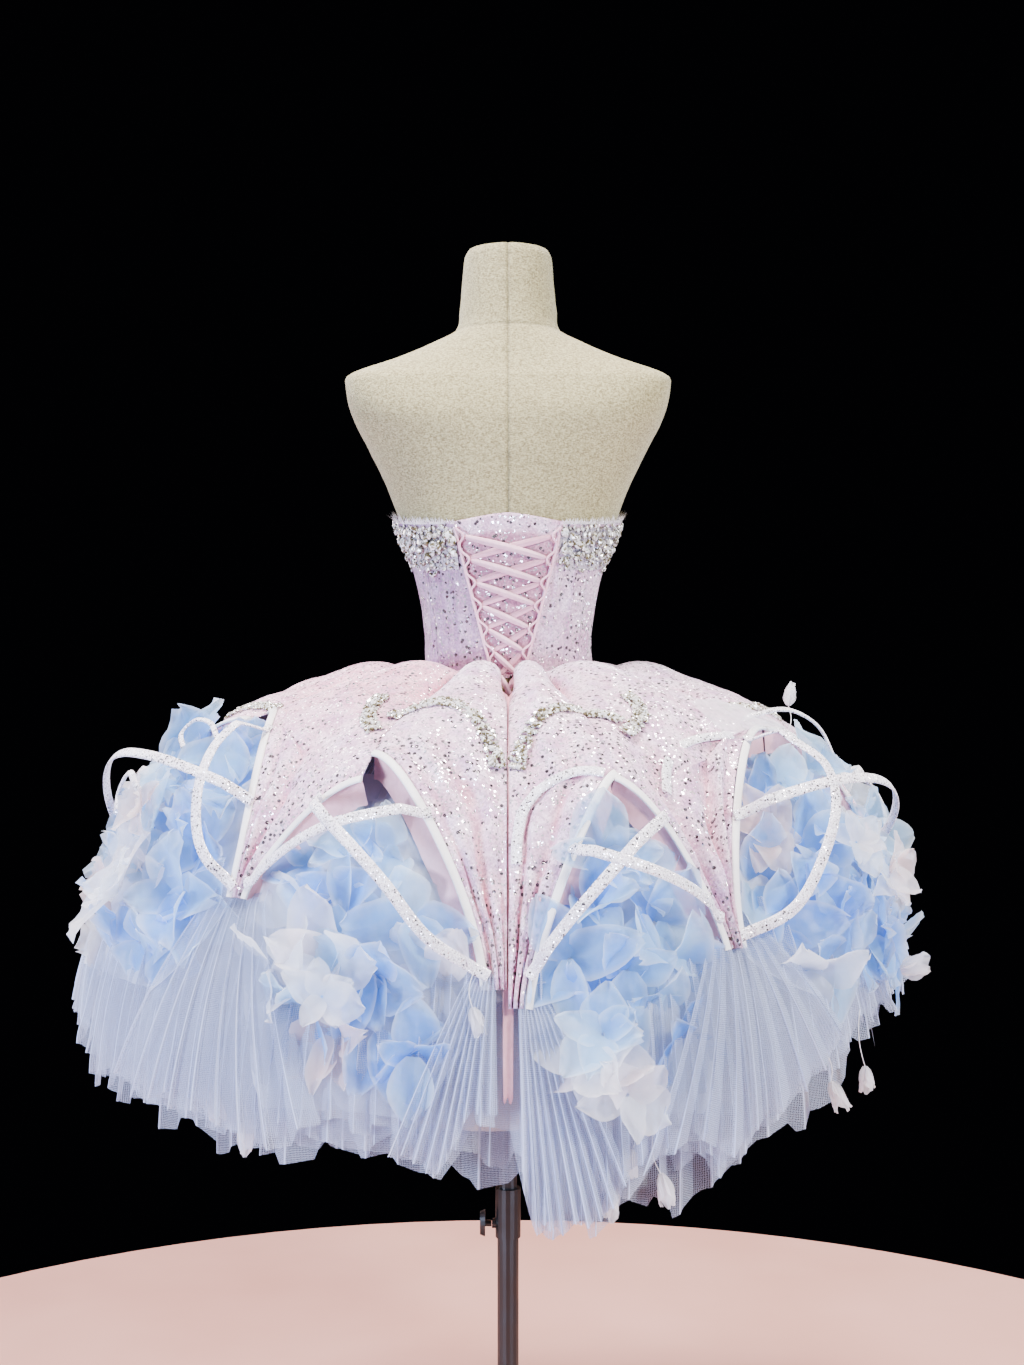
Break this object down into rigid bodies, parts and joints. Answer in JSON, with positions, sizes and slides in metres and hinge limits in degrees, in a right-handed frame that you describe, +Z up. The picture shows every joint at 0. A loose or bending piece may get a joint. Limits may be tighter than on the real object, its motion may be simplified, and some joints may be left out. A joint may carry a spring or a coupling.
{
  "type": "mini prom dress on a dress form",
  "caption": "Strapless laced glitter bodice over a domed skirt of bound petals, flower-filled arches and gathered net, on a limbless dress form that slides on its stand",
  "frame": {"origin": "middle of the base plate's underside", "axes": "+Z up along the pole; the laced back faces +Y, the front faces -Y, and the wearer's left is +X"},
  "size_m": [0.9749, 0.9248, 1.58],
  "materials": {
    "black_satin_steel": "satin black powder coat",
    "natural_linen": "stretched cream linen",
    "pink_glitter_fabric": "pale pink glitter cloth with dark flecks",
    "crystal_rows": "rows of small clear crystals",
    "pink_satin_ribbon": "dusty pink satin",
    "beige_satin": "plain satin",
    "white_net": "crisp white net",
    "white_satin_binding": "white satin",
    "white_glitter_band": "white glitter with dark flecks",
    "blue_organza_flowers": "sheer pale blue organza"
  },
  "bodies": {
    "stand": {"base_plate": "black_satin_steel", "pole_tube": "black_satin_steel", "pole_collar": "black_satin_steel"},
    "knob": {"clamp_knob": "black_satin_steel"},
    "dressed_form": {"pole_rod": "black_satin_steel", "form_body": "natural_linen", "bodice_back_left": "pink_glitter_fabric", "bodice_side_left": "pink_glitter_fabric", "bodice_front_left": "pink_glitter_fabric", "bodice_front_center": "pink_glitter_fabric", "bodice_front_right": "pink_glitter_fabric", "bodice_side_right": "pink_glitter_fabric", "bodice_back_right": "pink_glitter_fabric", "modesty_panel": "pink_glitter_fabric", "crystal_trim": "crystal_rows", "lace_ribbon_left": "pink_satin_ribbon", "lace_ribbon_right": "pink_satin_ribbon", "lace_tail": "pink_satin_ribbon", "lining": "beige_satin", "tulle_outer": "white_net", "tulle_middle": "white_net", "tulle_under": "white_net", "petal_back_left": "pink_glitter_fabric", "binding_back_left": "white_satin_binding", "petal_side_back_left": "pink_glitter_fabric", "binding_side_back_left": "white_satin_binding", "petal_side_left": "pink_glitter_fabric", "binding_side_left": "white_satin_binding", "petal_front_left": "pink_glitter_fabric", "binding_front_left": "white_satin_binding", "petal_front": "pink_glitter_fabric", "binding_front": "white_satin_binding", "petal_front_right": "pink_glitter_fabric", "binding_front_right": "white_satin_binding", "petal_side_right": "pink_glitter_fabric", "binding_side_right": "white_satin_binding", "petal_side_back_right": "pink_glitter_fabric", "binding_side_back_right": "white_satin_binding", "petal_back_right": "pink_glitter_fabric", "binding_back_right": "white_satin_binding", "bands_back_left": "white_glitter_band", "flowers_back_left": "blue_organza_flowers", "bands_side_back_left": "white_glitter_band", "flowers_side_back_left": "blue_organza_flowers", "bands_side_front_left": "white_glitter_band", "flowers_side_front_left": "blue_organza_flowers", "bands_front_left": "white_glitter_band", "flowers_front_left": "blue_organza_flowers", "bands_front_right": "white_glitter_band", "flowers_front_right": "blue_organza_flowers", "bands_side_front_right": "white_glitter_band", "flowers_side_front_right": "blue_organza_flowers", "bands_side_back_right": "white_glitter_band", "flowers_side_back_right": "blue_organza_flowers", "bands_back_right": "white_glitter_band", "flowers_back_right": "blue_organza_flowers", "hoop_back_right": "white_glitter_band", "hoop_side_back_right": "white_glitter_band"}
  },
  "joints": [
    {"name": "height_slide", "type": "slide", "parent": "stand", "child": "dressed_form", "axis": [0, 0, 1], "range_m": [-0.2, 0.15]},
    {"name": "knob_turn", "type": "hinge", "parent": "stand", "child": "knob", "pos_m": [0.019, 0, 0.436], "axis": [1, 0, 0], "continuous": true}
  ]
}
